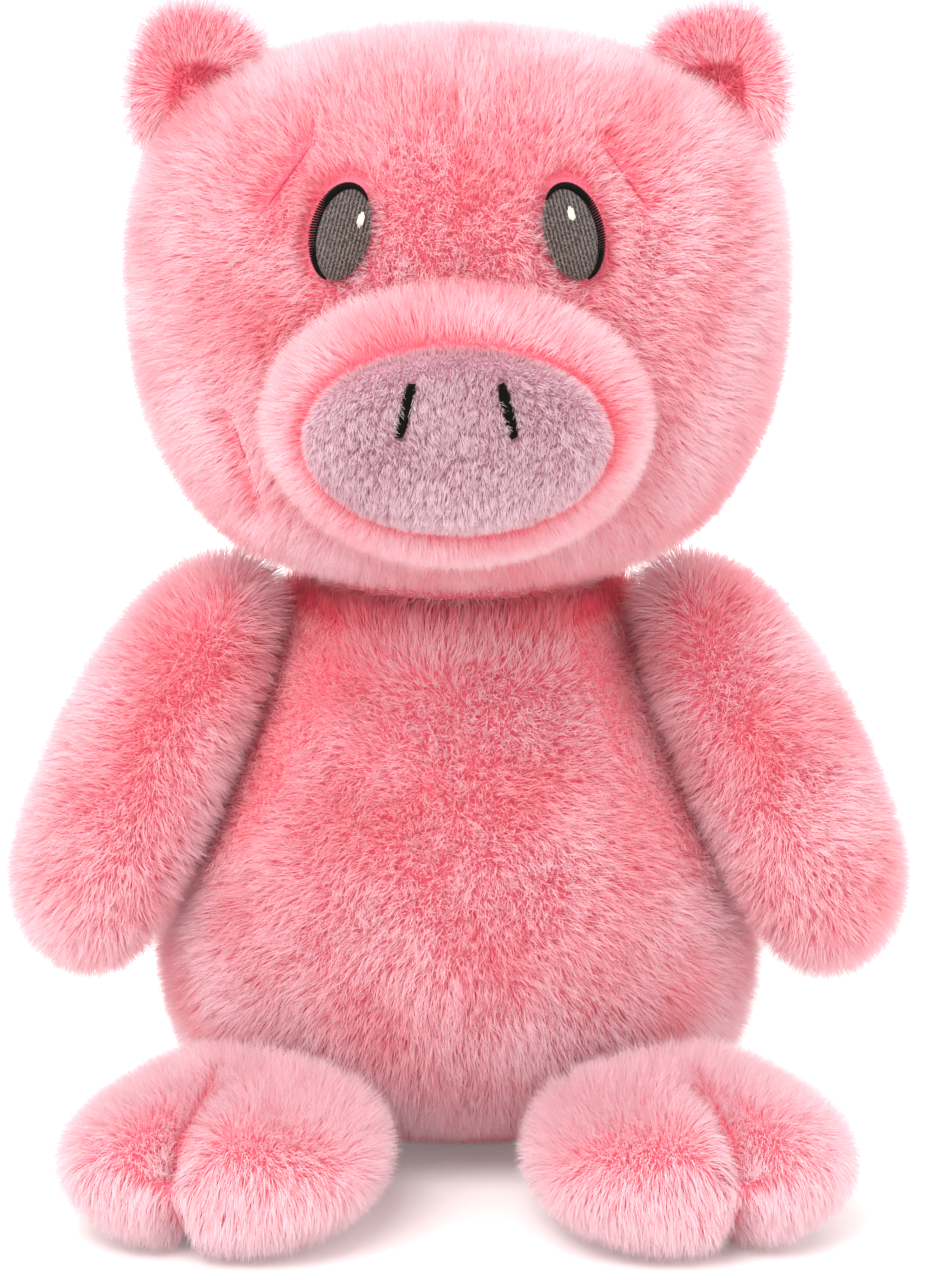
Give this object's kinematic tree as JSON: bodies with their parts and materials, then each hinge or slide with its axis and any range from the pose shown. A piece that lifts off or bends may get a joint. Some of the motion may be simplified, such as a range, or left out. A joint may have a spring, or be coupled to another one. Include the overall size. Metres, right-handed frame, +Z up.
{
  "type": "plush pig",
  "caption": "Seated stuffed pig in long pink pile with a turning and nodding head, swinging arms, lifting feet, folding ears and a tail",
  "frame": {"origin": "middle of the flat seat panel, on the surface the toy sits on", "axes": "+Z up, the pig faces -Y, +X is on the right of a viewer who looks at its face"},
  "size_m": [0.233, 0.2079, 0.2978],
  "materials": {
    "cream_thread": "satin-stitched thread, cream",
    "dark_thread": "satin-stitched thread, near black",
    "fibre": "polyester fibre filling",
    "knit": "fine dark grey rib knit",
    "lining": "short pile lining, deep pink",
    "nose": "short pile, dusty mauve",
    "pile": "long erect pile plush, pale tips and deep pink roots",
    "pink_thread": "sewing thread, deep pink",
    "pouch": "non-woven pouch filled with pellets"
  },
  "bodies": {
    "torso": {"bean_bag": "pouch", "body_back_panel": "pile", "body_base_panel": "pile", "body_front_panel": "pile", "body_stuffing": "fibre"},
    "neck": {"neck_wad": "fibre"},
    "head": {"brow_tuck_left": "pink_thread", "brow_tuck_right": "pink_thread", "eye_glint_left": "cream_thread", "eye_glint_right": "cream_thread", "eye_patch_left": "knit", "eye_patch_right": "knit", "eye_rim_left": "dark_thread", "eye_rim_right": "dark_thread", "head_back_panel": "pile", "head_face_panel": "pile", "head_stuffing": "fibre", "muzzle_panel": "pile", "muzzle_stuffing": "fibre", "nose_patch": "nose", "nostril_left": "dark_thread", "nostril_right": "dark_thread", "smile_tuck": "pink_thread"},
    "ear_left": {"ear_back_left": "pile", "ear_lining_left": "lining"},
    "arm_left": {"arm_inner_left": "pile", "arm_outer_left": "pile", "arm_stuffing_left": "fibre"},
    "foot_left": {"foot_sole_left": "pile", "foot_stuffing_left": "fibre", "foot_upper_left": "pile", "toe_stitch_left": "pink_thread"},
    "ear_right": {"ear_back_right": "pile", "ear_lining_right": "lining"},
    "arm_right": {"arm_inner_right": "pile", "arm_outer_right": "pile", "arm_stuffing_right": "fibre"},
    "foot_right": {"foot_sole_right": "pile", "foot_stuffing_right": "fibre", "foot_upper_right": "pile", "toe_stitch_right": "pink_thread"},
    "tail": {"tail": "pile"}
  },
  "joints": [
    {"name": "neck_turn", "type": "hinge", "parent": "torso", "child": "neck", "pos_m": [0, 0, 0.125], "axis": [0, 0, 1], "range_deg": [-25, 25], "stiffness_Nm_per_rad": 0.6},
    {"name": "head_nod", "type": "hinge", "parent": "neck", "child": "head", "pos_m": [0, 0, 0.125], "axis": [1, 0, 0], "range_deg": [-8, 8], "stiffness_Nm_per_rad": 1},
    {"name": "arm_swing_left", "type": "hinge", "parent": "torso", "child": "arm_left", "pos_m": [-0.05276, -0.00237, 0.13053], "axis": [-0.8146, -0.3798, 0.4384], "range_deg": [-35, 70], "stiffness_Nm_per_rad": 0.03},
    {"name": "foot_flap_left", "type": "hinge", "parent": "torso", "child": "foot_left", "pos_m": [-0.0475, -0.042, 0.02], "axis": [-0.9659, 0.2588, 0], "range_deg": [-10, 25], "stiffness_Nm_per_rad": 0.05},
    {"name": "ear_fold_left", "type": "hinge", "parent": "head", "child": "ear_left", "pos_m": [-0.064, -0.006, 0.2755], "axis": [0.809, 0, 0.5878], "range_deg": [-15, 25], "stiffness_Nm_per_rad": 0.01},
    {"name": "arm_swing_right", "type": "hinge", "parent": "torso", "child": "arm_right", "pos_m": [0.05276, -0.00237, 0.13053], "axis": [-0.8146, 0.3798, -0.4384], "range_deg": [-35, 70], "stiffness_Nm_per_rad": 0.03},
    {"name": "foot_flap_right", "type": "hinge", "parent": "torso", "child": "foot_right", "pos_m": [0.0475, -0.042, 0.02], "axis": [-0.9659, -0.2588, 0], "range_deg": [-10, 25], "stiffness_Nm_per_rad": 0.05},
    {"name": "ear_fold_right", "type": "hinge", "parent": "head", "child": "ear_right", "pos_m": [0.064, -0.006, 0.2755], "axis": [0.809, 0, -0.5878], "range_deg": [-15, 25], "stiffness_Nm_per_rad": 0.01},
    {"name": "tail_wag", "type": "hinge", "parent": "torso", "child": "tail", "pos_m": [0, 0.06625, 0.04999], "axis": [0, 0, 1], "range_deg": [-20, 20], "stiffness_Nm_per_rad": 0.005}
  ]
}
